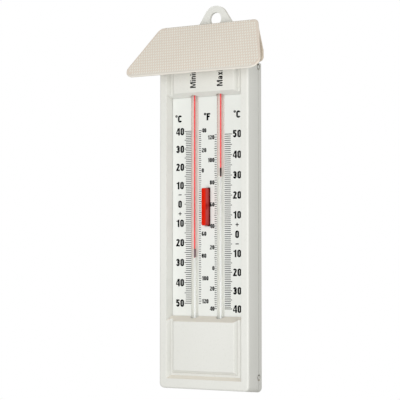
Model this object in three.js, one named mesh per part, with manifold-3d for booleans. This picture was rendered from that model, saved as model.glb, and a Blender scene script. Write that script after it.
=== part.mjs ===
// Maximum minimum thermometer for a greenhouse wall: a U-shaped spirit thermometer behind a moulded
// front housing, with a clip-on back cover, a folded rain hood and a push button that resets the markers.
// Millimetres, +Z up, +Y towards the wall. The origin is the centre of the hanging hole on the wall plane.

import * as THREE from "three";
import { mergeVertices } from "three/addons/utils/BufferGeometryUtils.js";
import Module from "manifold-3d";

const wasm = await Module();
wasm.setup();

// ---------------------------------------------------------------- driving dimensions
// Heights are measured up from the bottom edge of the case; depths are Y, zero on the wall plane.
const GAP = 0.3;
const HANG_HEIGHT = 226;
// Cutting solids reach this far past the surfaces they cut.
const PAST = 5;

const CASE = {
  width: 61, height: 205, front: -17.5, corner: 3, frontRound: 1.2, backRound: 0.7, draft: 0.1,
};
const SEAM = { depth: -4.3, gap: 0.25 };
const WALL = 2;

const RIM_WIDTH = 4.9;
const GROOVE = { depth: 2.5, slope: 1.9, floor: 1.3 };
const PANEL_SKIN = 1.8;
const PANEL_POCKET = { inset: 1.5, lower: [14.4, 40.5], upper: [180.5, 192.1] };
const RIM_CORE = { inset: 0.7, end: 5 };
const WINDOW = { bottomFront: 41.8, topFront: 179.5, bottomBack: 45.3, topBack: 177, sideDraft: 1.2 };
const PANEL_END = 7.5;
// The upper panel's side grooves run out through the top of the case, under the hood.
const UPPER_PANEL_END = CASE.height + 2 * PAST;

const PLATE = { face: -11.65, thickness: 3, halfWidth: 27.4, bottom: 9, top: 196 };
const TUBE = { x: 8.9, radius: 2.25, bore: 0.7, bend: 27, top: 181.4, groove: 2.4 };
const NOTCH = { radius: 2.65, spans: [[36, 50], [172, 186]] };
const BULB = { radius: 3.6, wall: 0.7, neck: 2.2, top: 191.6 };
const EXPANSION = { radius: 3.1, wall: 0.7, neck: 2, top: 189.5, fill: 187 };
const LIQUID_RADIUS = 0.34;

const INDEX = { length: 5.1, radius: 0.4, tip: 0.3, minBottom: 80.3, maxBottom: 128.6 };

const BUTTON = {
  half: 1.4, bottom: 99.2, top: 121.8, proud: 5.6, draft: 0.1, corner: 0.8, bevel: 0.45,
  root: 1.5, flange: 1.2,
};
const SLOT = { side: 0.3, end: 0.3 };
const CARRIER = { front: -8.35, bottom: 46, top: 160, web: 1.2, cheek: 1.1 };
const CARRIER_WINDOW = { half: 4.6, lower: [50, 84], upper: [138, 156] };
const MAGNET = { halfWidth: 2, thickness: 1.5, bottom: 49, top: 157 };
const SPRING = { heights: [91, 131], radius: 2.1, wire: 0.2, turns: 4.5, bore: 2.7, boss: 3.7, bottom: -7.6 };
const SPRING_PEG = { radius: 1.4, length: 1.4 };

// Each snap tongue's peg sits back from the middle of its hole by pegOffset.
const SNAP = {
  heights: [9.05, 194], depth: -4, hole: 1.95, peg: 1.1, pegOffset: 0.5, halfWidth: 2, thickness: 1.5,
};
const SNAP_SHY = 0.35;
const SNAP_ROOT = 0.4;

const TAB = { thickness: 2, ring: 8, hole: 3.95, half: 12, flank: 33, foot: 201 };

const HOOD = {
  thickness: 1.2,
  ridge: { depth: -10.2, height: 221.6, half: 33.5, radius: 1.7, corner: 4 },
  eave: { depth: -34.9, height: 189.3, half: 47.8, corner: 6 },
  leg: { depth: -0.9, bend: 204, bottom: 196.6, half: 32.6, corner: 3 },
};
const HOOD_NOTCH = { half: 12.6, top: 207.4 };
const HOOD_POCKET = { front: -2.9, lip: 0.6, lipTop: 203, lipInner: 13.4, lipOuter: 27, floor: 196.3 };

const DAB = { length: 2.2, upper: 178.4, lower: 40.2, inner: 2.31, outer: 2.58, spread: 0.85 };

// ---------------------------------------------------------------- materials
function plastic(color, roughness) {
  return new THREE.MeshStandardMaterial({ color, roughness, metalness: 0 });
}

const WHITE = plastic(0xe2e3dd, 0.38);
const CREAM = plastic(0xd8d0c2, 0.6);
const RED_BUTTON = plastic(0xd7230a, 0.35);
const BLACK_MAGNET = plastic(0x2b2a28, 0.8);
const GREY_CARRIER = plastic(0x8f9296, 0.5);
const ADHESIVE = plastic(0xe8d98a, 0.3);
const RED_SPIRIT = plastic(0xe0283c, 0.15);
const CLEAR_FLUID = plastic(0xe9ecea, 0.1);
const GLASS = new THREE.MeshStandardMaterial({
  color: 0xeef2f0, roughness: 0.05, metalness: 0, transparent: true, opacity: 0.35,
});
const STEEL = new THREE.MeshStandardMaterial({ color: 0x3a4046, roughness: 0.35, metalness: 1 });
const SPRING_STEEL = new THREE.MeshStandardMaterial({ color: 0xb9bcc0, roughness: 0.3, metalness: 1 });

// ---------------------------------------------------------------- solids
function toSolid(geometry) {
  const bare = geometry.clone();
  bare.deleteAttribute("normal");
  bare.deleteAttribute("uv");
  const merged = mergeVertices(bare, 1e-4);
  return new wasm.Manifold(new wasm.Mesh({
    numProp: 3,
    vertProperties: new Float32Array(merged.attributes.position.array),
    triVerts: new Uint32Array(merged.index.array),
  }));
}

function toGeometry(solid) {
  const mesh = solid.getMesh();
  const geometry = new THREE.BufferGeometry();
  geometry.setAttribute("position", new THREE.BufferAttribute(new Float32Array(mesh.vertProperties), 3));
  geometry.setIndex(new THREE.BufferAttribute(new Uint32Array(mesh.triVerts), 1));
  geometry.computeVertexNormals();
  return geometry;
}

function join(...geometries) {
  return geometries.map(toSolid).reduce((whole, piece) => whole.add(piece));
}

function cut(body, ...tools) {
  return tools.map(toSolid).reduce((whole, tool) => whole.subtract(tool), body);
}

function block(x0, x1, y0, y1, z0, z1) {
  const geometry = new THREE.BoxGeometry(x1 - x0, y1 - y0, z1 - z0);
  geometry.translate((x0 + x1) / 2, (y0 + y1) / 2, (z0 + z1) / 2);
  return geometry;
}

// A box whose front and back faces are different rectangles [x0, x1, z0, z1].
function taper(yFront, front, yBack, back) {
  const geometry = new THREE.BoxGeometry(2, 2, 2);
  const points = geometry.attributes.position;
  for (let i = 0; i < points.count; i += 1) {
    const rectangle = points.getY(i) < 0 ? front : back;
    const x = points.getX(i) < 0 ? rectangle[0] : rectangle[1];
    const z = points.getZ(i) < 0 ? rectangle[2] : rectangle[3];
    points.setXYZ(i, x, points.getY(i) < 0 ? yFront : yBack, z);
  }
  return geometry;
}

function roundedRectangle(halfWidth, bottom, top, radius) {
  const shape = new THREE.Shape();
  shape.absarc(halfWidth - radius, top - radius, radius, 0, Math.PI / 2, false);
  shape.absarc(radius - halfWidth, top - radius, radius, Math.PI / 2, Math.PI, false);
  shape.absarc(radius - halfWidth, bottom + radius, radius, Math.PI, 1.5 * Math.PI, false);
  shape.absarc(halfWidth - radius, bottom + radius, radius, 1.5 * Math.PI, 2 * Math.PI, false);
  return shape;
}

// Extrudes a shape drawn in the X-Z plane from yBack forward to yFront.
function slab(shape, yBack, yFront, options = {}) {
  const bevel = options.bevel ?? 0;
  const geometry = new THREE.ExtrudeGeometry(shape, {
    depth: yBack - yFront - 2 * bevel,
    steps: 1,
    curveSegments: options.curveSegments ?? 4,
    bevelEnabled: bevel > 0,
    bevelThickness: bevel,
    bevelSize: bevel,
    bevelOffset: -bevel,
    bevelSegments: options.bevelSegments ?? 3,
  });
  geometry.rotateX(Math.PI / 2);
  geometry.translate(0, yBack - bevel, 0);
  return geometry;
}

// Moulding draft: the top and bottom walls lean in towards the front of the case.
function draft(geometry) {
  const middle = CASE.height / 2;
  const points = geometry.attributes.position;
  for (let i = 0; i < points.count; i += 1) {
    const lean = 1 + (CASE.draft * points.getY(i)) / middle;
    points.setZ(i, middle + (points.getZ(i) - middle) * lean);
  }
  return geometry;
}

function rod(axis, radius, from, to, across, along, segments = 16) {
  const geometry = new THREE.CylinderGeometry(radius, radius, to - from, segments);
  geometry.translate(0, (from + to) / 2, 0);
  if (axis === "x") {
    geometry.rotateZ(-Math.PI / 2);
    geometry.translate(0, across, along);
  } else if (axis === "y") {
    geometry.translate(across, 0, along);
  } else {
    geometry.rotateX(Math.PI / 2);
    geometry.translate(across, along, 0);
  }
  return geometry;
}

// A turned piece on a vertical axis through (x, plate face): profile points are [radius, height].
function turned(profile, x, segments) {
  const points = profile.map(([radius, height]) => new THREE.Vector2(radius, height));
  const geometry = new THREE.LatheGeometry(points, segments);
  geometry.rotateX(Math.PI / 2);
  geometry.scale(1, -1, 1);
  geometry.index.array.reverse();
  geometry.translate(x, PLATE.face, 0);
  return geometry;
}

// The U of the capillary: down the left limb, round the bend and up the right limb.
class UPath extends THREE.Curve {
  constructor(leftTop, rightTop, bendSteps) {
    super();
    this.leftTop = leftTop;
    this.rightTop = rightTop;
    this.bendSteps = bendSteps;
    this.steps = bendSteps + 2;
  }

  getPoint(t) {
    const place = t * this.steps;
    if (place < 1) {
      return new THREE.Vector3(-TUBE.x, PLATE.face, this.leftTop + (TUBE.bend - this.leftTop) * place);
    }
    const turn = place - 1;
    if (turn <= this.bendSteps) {
      const angle = Math.PI + (Math.PI * turn) / this.bendSteps;
      return new THREE.Vector3(
        TUBE.x * Math.cos(angle), PLATE.face, TUBE.bend + TUBE.x * Math.sin(angle));
    }
    const rise = Math.min(turn - this.bendSteps, 1);
    return new THREE.Vector3(TUBE.x, PLATE.face, TUBE.bend + (this.rightTop - TUBE.bend) * rise);
  }

  getPointAt(u) {
    return this.getPoint(u);
  }

  getTangentAt(u) {
    return this.getTangent(u);
  }
}

function alongU(radius, holeRadius, leftTop, rightTop, bendSteps, curveSegments) {
  const section = new THREE.Shape();
  section.absarc(0, 0, radius, 0, 2 * Math.PI, false);
  if (holeRadius > 0) {
    const hole = new THREE.Path();
    hole.absarc(0, 0, holeRadius, 0, 2 * Math.PI, true);
    section.holes.push(hole);
  }
  const path = new UPath(leftTop, rightTop, bendSteps);
  return new THREE.ExtrudeGeometry(section, { steps: path.steps, curveSegments, extrudePath: path });
}

// ---------------------------------------------------------------- case
const rimInner = CASE.width / 2 - RIM_WIDTH;
const grooveWidth = 2 * GROOVE.slope + GROOVE.floor;
const panelHalf = rimInner - grooveWidth;
const grooveFloor = CASE.front + GROOVE.depth;
const skirtBack = PLATE.face - GAP;

// One sunk border groove round three sides of a panel that ends at the window.
function panelGroove(end, windowSide) {
  const away = Math.sign(end - windowSide);
  const order = (a, b) => [Math.min(a, b), Math.max(a, b)];
  const over = 0.5;
  const grow = (GROOVE.slope * over) / GROOVE.depth;
  const outer = taper(
    CASE.front - over, [-rimInner - grow, rimInner + grow, ...order(end + away * grow, windowSide)],
    grooveFloor, [GROOVE.slope - rimInner, rimInner - GROOVE.slope,
      ...order(end - away * GROOVE.slope, windowSide)]);
  const inner = taper(
    CASE.front - over, [grow - panelHalf, panelHalf - grow,
      ...order(end - away * (grooveWidth + grow), windowSide)],
    grooveFloor, [-panelHalf - GROOVE.slope, panelHalf + GROOVE.slope,
      ...order(end - away * (grooveWidth - GROOVE.slope), windowSide)]);
  return toSolid(outer).subtract(toSolid(inner));
}

function windowOpening() {
  const sides = (y) => {
    const share = (y - CASE.front) / (PLATE.face - CASE.front);
    const half = rimInner - WINDOW.sideDraft * share;
    return [
      -half, half,
      WINDOW.bottomFront + (WINDOW.bottomBack - WINDOW.bottomFront) * share,
      WINDOW.topFront + (WINDOW.topBack - WINDOW.topFront) * share,
    ];
  };
  return taper(CASE.front - 1, sides(CASE.front - 1), PLATE.face + 1, sides(PLATE.face + 1));
}

function snapHoles() {
  return SNAP.heights.flatMap((height) => [-1, 1].map((side) => {
    const from = side > 0 ? CASE.width / 2 - WALL - GAP : -CASE.width / 2 - 1;
    const to = side > 0 ? CASE.width / 2 + 1 : WALL + GAP - CASE.width / 2;
    return rod("x", SNAP.hole, from, to, SNAP.depth, height, 20);
  }));
}

function frontHousing() {
  const outline = roundedRectangle(CASE.width / 2, 0, CASE.height, CASE.corner);
  const outer = draft(slab(outline, PAST, CASE.front, { bevel: CASE.frontRound, bevelSegments: 4 }));
  const inside = CASE.width / 2 - WALL;
  const insideEnd = 1.5 * WALL;
  const pocketHalf = panelHalf - PANEL_POCKET.inset;
  const panelPockets = [PANEL_POCKET.lower, PANEL_POCKET.upper].map((span) => (
    block(-pocketHalf, pocketHalf, CASE.front + PANEL_SKIN, PLATE.face, ...span)));
  const coreInner = rimInner + RIM_CORE.inset;
  const rimCores = [[-inside, -coreInner], [coreInner, inside]].map((span) => (
    block(...span, CASE.front + WALL, PLATE.face, RIM_CORE.end, CASE.height - RIM_CORE.end)));
  const notches = [-TUBE.x, TUBE.x].flatMap((x) => NOTCH.spans.map((span) => (
    rod("z", NOTCH.radius, ...span, x, PLATE.face, 20))));
  const body = cut(
    toSolid(outer),
    block(-CASE.width, CASE.width, SEAM.depth - SEAM.gap / 2, 2 * PAST, -PAST, CASE.height + PAST),
    block(-inside, inside, skirtBack, 0, insideEnd, CASE.height - insideEnd),
    windowOpening(), ...panelPockets, ...rimCores, ...notches, ...snapHoles());
  const grooves = [
    panelGroove(PANEL_END, WINDOW.bottomBack + 1),
    panelGroove(UPPER_PANEL_END, WINDOW.topBack - 1),
  ];
  return toGeometry(grooves.reduce((housing, groove) => housing.subtract(groove), body));
}

function hangingTab() {
  const lean = THREE.MathUtils.degToRad(TAB.flank);
  const tangent = new THREE.Vector2(TAB.ring * Math.cos(lean), TAB.ring * Math.sin(lean));
  const drop = (TAB.half - tangent.x) / Math.tan(lean);
  const shape = new THREE.Shape();
  shape.moveTo(-TAB.half, TAB.foot);
  shape.lineTo(TAB.half, TAB.foot);
  shape.lineTo(TAB.half, HANG_HEIGHT + tangent.y - drop);
  shape.absarc(0, HANG_HEIGHT, TAB.ring, lean, Math.PI - lean, false);
  shape.lineTo(-TAB.half, HANG_HEIGHT + tangent.y - drop);
  const hole = new THREE.Path();
  hole.absarc(0, HANG_HEIGHT, TAB.hole, 0, 2 * Math.PI, true);
  shape.holes.push(hole);
  return slab(shape, 0, -TAB.thickness, { curveSegments: 12 });
}

function snapTongues() {
  const outside = CASE.width / 2 - WALL - GAP;
  return SNAP.heights.flatMap((height) => [-1, 1].flatMap((side) => {
    const inner = side * (outside - SNAP.thickness);
    const outer = side * outside;
    const tip = side * (CASE.width / 2 - SNAP_SHY);
    const root = inner + side * SNAP_ROOT;
    const back = height > CASE.height / 2 ? HOOD_POCKET.front - GAP : -WALL / 2;
    return [
      block(Math.min(inner, outer), Math.max(inner, outer), SNAP.depth - SNAP.hole - SNAP_SHY, back,
        height - SNAP.halfWidth, height + SNAP.halfWidth),
      rod("x", SNAP.peg, Math.min(root, tip), Math.max(root, tip), SNAP.depth + SNAP.pegOffset, height, 20),
    ];
  }));
}

function backCover() {
  const outline = roundedRectangle(CASE.width / 2, 0, CASE.height, CASE.corner);
  const outer = draft(slab(outline, 0, 2 * SEAM.depth, { bevel: CASE.backRound, bevelSegments: 2 }));
  const inside = CASE.width / 2 - WALL + 0.2;
  const pocketBack = -HOOD_POCKET.lip;
  const shell = cut(
    toSolid(outer),
    block(-CASE.width, CASE.width, CASE.front, SEAM.depth + SEAM.gap / 2, -PAST, CASE.height + PAST),
    block(-inside, inside, CASE.front, -WALL, WALL, HOOD_POCKET.floor - WALL),
    ...snapHoles());
  const pockets = [-1, 1].flatMap((side) => {
    const span = (a, b) => [Math.min(side * a, side * b), Math.max(side * a, side * b)];
    const whole = span(HOOD_NOTCH.half - GAP, CASE.width);
    const innerSide = span(HOOD_NOTCH.half - GAP, HOOD_POCKET.lipInner);
    const outerSide = span(HOOD_POCKET.lipOuter, CASE.width);
    const top = CASE.height + PAST;
    return [
      block(...whole, HOOD_POCKET.front, pocketBack, HOOD_POCKET.floor, top),
      block(...innerSide, HOOD_POCKET.front, 1, HOOD_POCKET.floor, top),
      block(...outerSide, HOOD_POCKET.front, 1, HOOD_POCKET.floor, top),
      block(...whole, HOOD_POCKET.front, 1, HOOD_POCKET.lipTop, top),
    ];
  });
  const pegs = SPRING.heights.map((height) => (
    rod("y", SPRING_PEG.radius, -WALL - SPRING_PEG.length, -WALL + 0.5, 0, height, 12)));
  const body = cut(shell, ...pockets).add(join(hangingTab(), ...snapTongues(), ...pegs));
  return toGeometry(body);
}

// ---------------------------------------------------------------- rain hood
// Direction of the straight stretch that leaves the ridge circle and passes through a given point.
function tangentAngle(point) {
  const dy = Math.abs(point.depth - HOOD.ridge.depth);
  const dz = HOOD.ridge.height - HOOD.ridge.radius - point.height;
  return Math.atan2(dz, dy) + Math.asin(HOOD.ridge.radius / Math.hypot(dy, dz));
}

// Rounded end of a panel: points [distance from the end, half width], from the end to the straight side.
// The side widens by spread for each millimetre towards this end.
function roundedEnd(half, spread, radius, steps) {
  const lean = Math.hypot(1, spread);
  const centre = half - radius * (spread + lean);
  const last = Math.atan2(spread, 1);
  return Array.from({ length: steps + 1 }, (_, i) => {
    const angle = -Math.PI / 2 + (last + Math.PI / 2) * (i / steps);
    return [radius * (1 + Math.sin(angle)), centre + radius * Math.cos(angle)];
  });
}

// Rows of the folded sheet from the eave over the ridge to the foot of the back leg. Each row has the
// outer surface's depth and height, its outward normal's angle and the half width of the sheet there.
function hoodRows() {
  const { ridge, eave, leg } = HOOD;
  const centre = ridge.height - ridge.radius;
  const frontAngle = tangentAngle(eave);
  const backAngle = tangentAngle({ depth: leg.depth, height: leg.bend });
  const foldHalf = (ridge.radius * (frontAngle + backAngle)) / 2;

  // The point at a distance from the middle of the fold, on the front (side 1) or the back (side -1).
  const place = (distance, side) => {
    const bent = Math.min(distance, foldHalf);
    const angle = (frontAngle - backAngle) / 2 + (side * bent) / ridge.radius;
    const straight = side * (distance - bent);
    return {
      depth: ridge.depth - ridge.radius * Math.sin(angle) - straight * Math.cos(angle),
      height: centre + ridge.radius * Math.cos(angle) - straight * Math.sin(angle),
      angle,
    };
  };

  const foot = place(foldHalf, 1);
  const slope = foldHalf + Math.hypot(foot.depth - eave.depth, foot.height - eave.height);
  const widen = (eave.half - ridge.half) / slope;
  const narrowest = ridge.half - ridge.corner;
  const cornerSteps = 6;
  const nearRidge = (half, spread, side) => {
    const radius = half - narrowest;
    return Array.from({ length: cornerSteps + 1 }, (_, i) => {
      const turn = (Math.PI / 2) * (i / cornerSteps);
      const distance = radius * (1 - Math.cos(turn));
      return { ...place(distance, side), half: narrowest + radius * Math.sin(turn) + spread * distance };
    });
  };

  const eaveRows = roundedEnd(eave.half, widen, eave.corner, 7).map(([up, half]) => (
    { ...place(slope - up, 1), half }));
  const frontRows = nearRidge(ridge.half, widen, 1).reverse();
  const backRows = nearRidge(leg.half, 0, -1).slice(1);
  const bendSteps = 3;
  const bendRows = Array.from({ length: bendSteps + 1 }, (_, i) => {
    const reach = 1 - i / bendSteps;
    return {
      depth: leg.depth - 0.35 * reach * reach,
      height: leg.bend + reach,
      angle: -backAngle - (Math.PI / 2 - backAngle) * (1 - reach),
      half: leg.half,
    };
  });
  const legRows = roundedEnd(leg.half, 0, leg.corner, 5).reverse().map(([up, half]) => (
    { depth: leg.depth, height: leg.bottom + up, angle: -Math.PI / 2, half }));
  return [...eaveRows, ...frontRows, ...backRows, ...bendRows, ...legRows];
}

function rainHood() {
  const rows = hoodRows();
  const positions = [];
  for (const row of rows) {
    const inDepth = row.depth + HOOD.thickness * Math.sin(row.angle);
    const inHeight = row.height - HOOD.thickness * Math.cos(row.angle);
    positions.push(-row.half, row.depth, row.height, row.half, row.depth, row.height);
    positions.push(-row.half, inDepth, inHeight, row.half, inDepth, inHeight);
  }
  const index = [];
  const quad = (a, b, c, d) => index.push(a, b, c, a, c, d);
  for (let i = 0; i + 1 < rows.length; i += 1) {
    const a = 4 * i;
    const b = a + 4;
    quad(a, a + 1, b + 1, b);
    quad(a + 2, b + 2, b + 3, a + 3);
    quad(a, b, b + 2, a + 2);
    quad(a + 1, a + 3, b + 3, b + 1);
  }
  const last = 4 * (rows.length - 1);
  quad(0, 2, 3, 1);
  quad(last, last + 1, last + 3, last + 2);
  const sheet = new THREE.BufferGeometry();
  sheet.setAttribute("position", new THREE.Float32BufferAttribute(positions, 3));
  sheet.setIndex(index);
  const notch = block(
    -HOOD_NOTCH.half, HOOD_NOTCH.half, HOOD.leg.depth - PAST, PAST, HOOD.leg.bottom - PAST, HOOD_NOTCH.top);
  return toGeometry(cut(toSolid(sheet), notch));
}

// ---------------------------------------------------------------- scale plate
function scalePlate() {
  const { face, thickness, halfWidth, bottom, top } = PLATE;
  const bulbHalf = BULB.radius + 2 * GAP;
  const slotHalf = BUTTON.half + SLOT.side;
  const bulbBays = [-TUBE.x, TUBE.x].map((x) => (
    block(x - bulbHalf, x + bulbHalf, face - 1, face + thickness + 1, TUBE.top - 1.5, BULB.top + 1)));
  const slot = block(-slotHalf, slotHalf, face - 1, face + thickness + 1,
    BUTTON.bottom - SLOT.end, BUTTON.top + SLOT.end);
  return toGeometry(cut(
    toSolid(block(-halfWidth, halfWidth, face, face + thickness, bottom, top)),
    alongU(TUBE.groove, 0, top + PAST, top + PAST, 14, 6),
    ...bulbBays, slot));
}

// ---------------------------------------------------------------- glass and liquids
function capillaryTube() {
  return alongU(TUBE.radius, TUBE.bore, TUBE.top, TUBE.top, 14, 8);
}

function bulb(spec, x) {
  const { radius, wall, neck, top } = spec;
  const bottom = TUBE.top + GAP;
  const inner = radius - wall;
  const shoulder = bottom + neck;
  const domeSteps = 4;
  const dome = (r, height, steps) => Array.from({ length: steps + 1 }, (_, i) => {
    const turn = (Math.PI / 2) * (i / steps);
    return [i === steps ? 0 : r * Math.cos(turn), height + r * Math.sin(turn)];
  });
  const crown = top - radius;
  const outside = [[TUBE.bore, bottom], [TUBE.radius, bottom], [radius, shoulder],
    ...dome(radius, crown, domeSteps)];
  const inside = [[TUBE.bore, bottom + 0.6], [inner, shoulder + 0.3], ...dome(inner, crown, domeSteps)];
  return turned([...outside, ...inside.reverse(), [TUBE.bore, bottom]], x, 20);
}

function spiritColumn(spec, x, indexBottom, fillTop) {
  const bottom = indexBottom + INDEX.length + GAP;
  const shoulder = TUBE.top + GAP + spec.neck + 0.7;
  const fill = spec.radius - spec.wall - 0.3;
  return turned([
    [0, bottom],
    [LIQUID_RADIUS, bottom],
    [LIQUID_RADIUS, TUBE.top + 1.3],
    [fill, shoulder],
    [fill, fillTop - fill * 0.6],
    [fill * 0.7, fillTop - fill * 0.2],
    [0, fillTop],
  ], x, 10);
}

function indicatingFluid() {
  return alongU(LIQUID_RADIUS, 0, INDEX.minBottom - GAP, INDEX.maxBottom - GAP, 12, 4);
}

// A glass-coated steel pin with rounded ends.
function indexMarker(x, bottom) {
  const { radius, length, tip } = INDEX;
  const top = bottom + length;
  return turned([
    [0, bottom], [radius * 0.7, bottom + tip / 3], [radius, bottom + tip],
    [radius, top - tip], [radius * 0.7, top - tip / 3], [0, top],
  ], x, 12);
}

// A dab of adhesive between the tube and the housing above it.
function adhesiveDab(x, bottom) {
  const arc = new THREE.Shape();
  const { inner, outer, spread } = DAB;
  arc.absarc(0, 0, outer, Math.PI / 2 - spread, Math.PI / 2 + spread, false);
  arc.absarc(0, 0, inner, Math.PI / 2 + spread, Math.PI / 2 - spread, true);
  const geometry = new THREE.ExtrudeGeometry(arc, {
    depth: DAB.length, steps: 1, curveSegments: 6, bevelEnabled: false,
  });
  geometry.rotateZ(Math.PI);
  geometry.translate(x, PLATE.face, bottom);
  return geometry;
}

// ---------------------------------------------------------------- reset mechanism
function resetButton() {
  const { half, bottom, top, proud, draft: lean, corner, bevel, root, flange } = BUTTON;
  const face = PLATE.face - proud;
  const plateBack = PLATE.face + PLATE.thickness;
  const flangeFront = plateBack + GAP;
  const shape = roundedRectangle(half, bottom, top, corner);
  const fin = slab(shape, flangeFront + bevel, face, { bevel, bevelSegments: 2, curveSegments: 3 });
  const points = fin.attributes.position;
  const middle = (bottom + top) / 2;
  for (let i = 0; i < points.count; i += 1) {
    const share = Math.max(0, (PLATE.face - points.getY(i)) / proud);
    const scale = 1 - (lean * share) / ((top - bottom) / 2);
    points.setZ(i, middle + (points.getZ(i) - middle) * scale);
  }
  const foot = block(-half - root, half + root, flangeFront, flangeFront + flange,
    bottom - root, top + root);
  return toGeometry(join(fin, foot));
}

function magnetCarrier() {
  const { front, bottom, top, web, cheek } = CARRIER;
  const floor = front + MAGNET.thickness + GAP;
  const back = floor + web;
  const outer = TUBE.x + MAGNET.halfWidth + GAP + cheek;
  const tray = block(-outer, outer, front, back, bottom, top);
  const beds = [-TUBE.x, TUBE.x].map((x) => {
    const half = MAGNET.halfWidth + GAP;
    return block(x - half, x + half, front - 1, floor, MAGNET.bottom - GAP, MAGNET.top + GAP);
  });
  const seatHalf = BUTTON.half + BUTTON.root + GAP;
  const seat = block(-seatHalf, seatHalf, front - 1, PLATE.face + PLATE.thickness + BUTTON.flange + 2 * GAP,
    BUTTON.bottom - BUTTON.root - GAP, BUTTON.top + BUTTON.root + GAP);
  const windows = [CARRIER_WINDOW.lower, CARRIER_WINDOW.upper].map((span) => (
    block(-CARRIER_WINDOW.half, CARRIER_WINDOW.half, front - 1, back + 1, ...span)));
  const bosses = SPRING.heights.map((height) => (
    rod("y", SPRING.boss, front, back + WALL * 0.3, 0, height, 20)));
  const bores = SPRING.heights.map((height) => (
    rod("y", SPRING.bore, SPRING.bottom - GAP, 0, 0, height, 20)));
  return toGeometry(cut(join(tray, ...bosses), ...beds, seat, ...windows, ...bores));
}

function magnetStrip(x) {
  const { halfWidth, thickness, bottom, top } = MAGNET;
  return block(x - halfWidth, x + halfWidth, CARRIER.front, CARRIER.front + thickness, bottom, top);
}

class Coil extends THREE.Curve {
  constructor(height, from, to) {
    super();
    this.height = height;
    this.from = from;
    this.to = to;
  }

  getPoint(t) {
    const angle = 2 * Math.PI * SPRING.turns * t;
    return new THREE.Vector3(
      SPRING.radius * Math.cos(angle),
      this.from + (this.to - this.from) * t,
      this.height + SPRING.radius * Math.sin(angle));
  }
}

function returnSpring(height) {
  const wire = new THREE.Shape();
  wire.absarc(0, 0, SPRING.wire, 0, 2 * Math.PI, false);
  const clearance = SPRING.wire + 0.1;
  return new THREE.ExtrudeGeometry(wire, {
    steps: Math.round(SPRING.turns * 10),
    curveSegments: 3,
    extrudePath: new Coil(height, SPRING.bottom + clearance, -WALL - clearance),
  });
}

// ---------------------------------------------------------------- assembly
const thermometer = new THREE.Group();
thermometer.position.z = -HANG_HEIGHT;

function add(name, geometry, material) {
  const mesh = new THREE.Mesh(geometry, material);
  mesh.name = name;
  thermometer.add(mesh);
}

add("front_housing", frontHousing(), WHITE);
add("back_cover", backCover(), WHITE);
add("rain_hood", rainHood(), CREAM);
add("scale_plate", scalePlate(), WHITE);

add("capillary_tube", capillaryTube(), GLASS);
add("spirit_bulb", bulb(BULB, -TUBE.x), GLASS);
add("expansion_bulb", bulb(EXPANSION, TUBE.x), GLASS);
add("min_spirit_column",
  spiritColumn(BULB, -TUBE.x, INDEX.minBottom, BULB.top - BULB.wall - GAP), RED_SPIRIT);
add("max_spirit_column",
  spiritColumn(EXPANSION, TUBE.x, INDEX.maxBottom, EXPANSION.fill), RED_SPIRIT);
add("indicating_fluid", indicatingFluid(), CLEAR_FLUID);
add("index_min", indexMarker(-TUBE.x, INDEX.minBottom), STEEL);
add("index_max", indexMarker(TUBE.x, INDEX.maxBottom), STEEL);
add("adhesive_dab_min_upper", adhesiveDab(-TUBE.x, DAB.upper), ADHESIVE);
add("adhesive_dab_max_upper", adhesiveDab(TUBE.x, DAB.upper), ADHESIVE);
add("adhesive_dab_min_lower", adhesiveDab(-TUBE.x, DAB.lower), ADHESIVE);
add("adhesive_dab_max_lower", adhesiveDab(TUBE.x, DAB.lower), ADHESIVE);

add("reset_button", resetButton(), RED_BUTTON);
add("magnet_carrier", magnetCarrier(), GREY_CARRIER);
add("magnet_strip_min", magnetStrip(-TUBE.x), BLACK_MAGNET);
add("magnet_strip_max", magnetStrip(TUBE.x), BLACK_MAGNET);
add("return_spring_lower", returnSpring(SPRING.heights[0]), SPRING_STEEL);
add("return_spring_upper", returnSpring(SPRING.heights[1]), SPRING_STEEL);

export default thermometer;
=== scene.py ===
"""Looks of a maximum minimum thermometer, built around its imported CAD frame.

Metres, +Z up, +Y towards the wall, +X to the viewer's right. The origin is the centre of the hanging
hole on the wall plane. Sizes are named in millimetres, and heights are measured from the case's bottom edge.
"""

import math

import bmesh
import bpy
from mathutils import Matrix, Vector
from mathutils.geometry import tessellate_polygon

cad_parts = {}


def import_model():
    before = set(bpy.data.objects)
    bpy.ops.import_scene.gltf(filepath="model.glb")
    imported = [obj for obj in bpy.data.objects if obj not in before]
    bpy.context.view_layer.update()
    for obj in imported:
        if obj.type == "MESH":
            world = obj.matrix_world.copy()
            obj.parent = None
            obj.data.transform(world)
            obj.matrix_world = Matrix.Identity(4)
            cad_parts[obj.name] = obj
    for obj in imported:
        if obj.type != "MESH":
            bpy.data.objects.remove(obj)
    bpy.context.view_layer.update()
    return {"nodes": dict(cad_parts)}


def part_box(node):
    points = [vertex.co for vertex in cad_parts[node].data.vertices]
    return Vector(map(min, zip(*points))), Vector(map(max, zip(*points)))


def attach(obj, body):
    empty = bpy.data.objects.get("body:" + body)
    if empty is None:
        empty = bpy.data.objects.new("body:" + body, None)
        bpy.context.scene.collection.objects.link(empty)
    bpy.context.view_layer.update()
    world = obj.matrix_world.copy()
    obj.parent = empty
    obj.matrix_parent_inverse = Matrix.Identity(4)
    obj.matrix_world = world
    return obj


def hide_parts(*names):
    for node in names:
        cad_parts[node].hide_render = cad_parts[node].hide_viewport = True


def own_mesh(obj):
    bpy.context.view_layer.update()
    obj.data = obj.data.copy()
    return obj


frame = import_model()

# ---------------------------------------------------------------- driving dimensions, in millimetres
MM = 0.001
HANG_HEIGHT = 226
CASE_TOP = 205
BOTTOM = -HANG_HEIGHT * MM

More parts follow.
